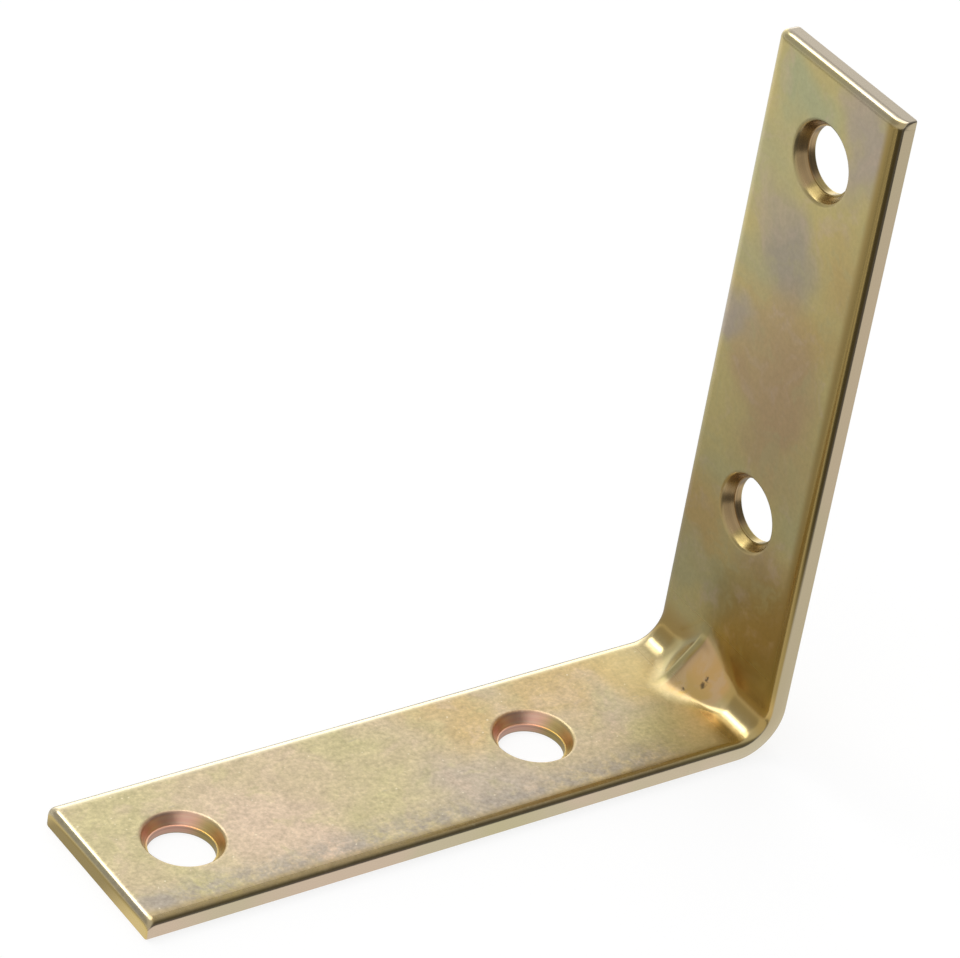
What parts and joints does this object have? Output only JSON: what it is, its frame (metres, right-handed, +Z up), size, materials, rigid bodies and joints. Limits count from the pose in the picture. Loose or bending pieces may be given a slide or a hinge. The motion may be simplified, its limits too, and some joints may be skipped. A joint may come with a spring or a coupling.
{
  "type": "angle bracket",
  "caption": "Folded steel strip angle bracket with a leg each way, countersunk screw holes and a pressed rib across the inner corner, yellow passivated.",
  "frame": {"origin": "outer heel at mid width, where the planes of the two outer faces meet", "axes": "+X along the horizontal leg, +Z up the upright leg, +Y across the strip; the horizontal leg's outer face lies on Z = 0"},
  "size_m": [0.062, 0.016, 0.0615],
  "materials": {
    "passivated_steel": "zinc plated and yellow passivated, satin, with soft rainbow clouds and fine scuffs"
  },
  "bodies": {
    "root": {"bracket": "passivated_steel"}
  },
  "joints": []
}
